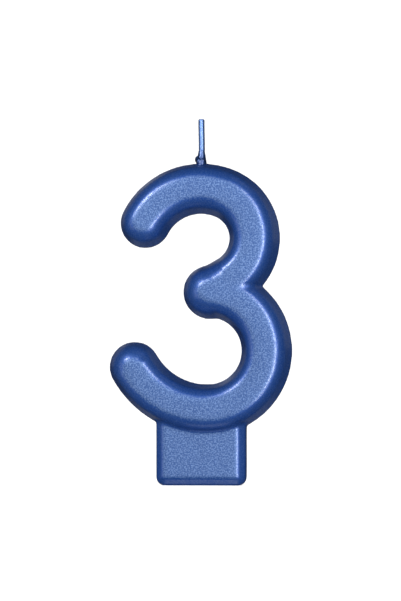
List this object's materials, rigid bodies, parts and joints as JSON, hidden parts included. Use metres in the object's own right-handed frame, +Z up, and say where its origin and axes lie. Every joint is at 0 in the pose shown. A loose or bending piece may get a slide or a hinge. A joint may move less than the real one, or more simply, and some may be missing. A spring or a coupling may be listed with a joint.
{
  "type": "number birthday candle",
  "caption": "Number candle shaped as a rounded figure 3 on a flat bevelled foot, with a plaited wick set in its crown and a metallic lacquer skin over bare wax.",
  "frame": {"origin": "middle of the foot's bottom face, on the surface that the candle stands on", "axes": "+Z up along the candle's height to the wick's tip, -Y out of the front face that shows the figure 3 the right way round, +X to the figure's right as seen from the front"},
  "size_m": [0.0413, 0.012, 0.0824],
  "materials": {
    "white_wax": "satin paraffin wax, bare only under the foot",
    "wick_cotton": "plaited cotton yarn soaked in wax",
    "primer_wax": "hard wick wax",
    "blue_lacquer": "satin metallic blue lacquer with fine flake"
  },
  "bodies": {
    "root": {"wax_casting": "white_wax", "wick_strand_1": "wick_cotton", "wick_strand_2": "wick_cotton", "wick_strand_3": "wick_cotton", "wick_primer": "primer_wax", "wick_seal": "white_wax", "lacquer_skin": "blue_lacquer"}
  },
  "joints": []
}
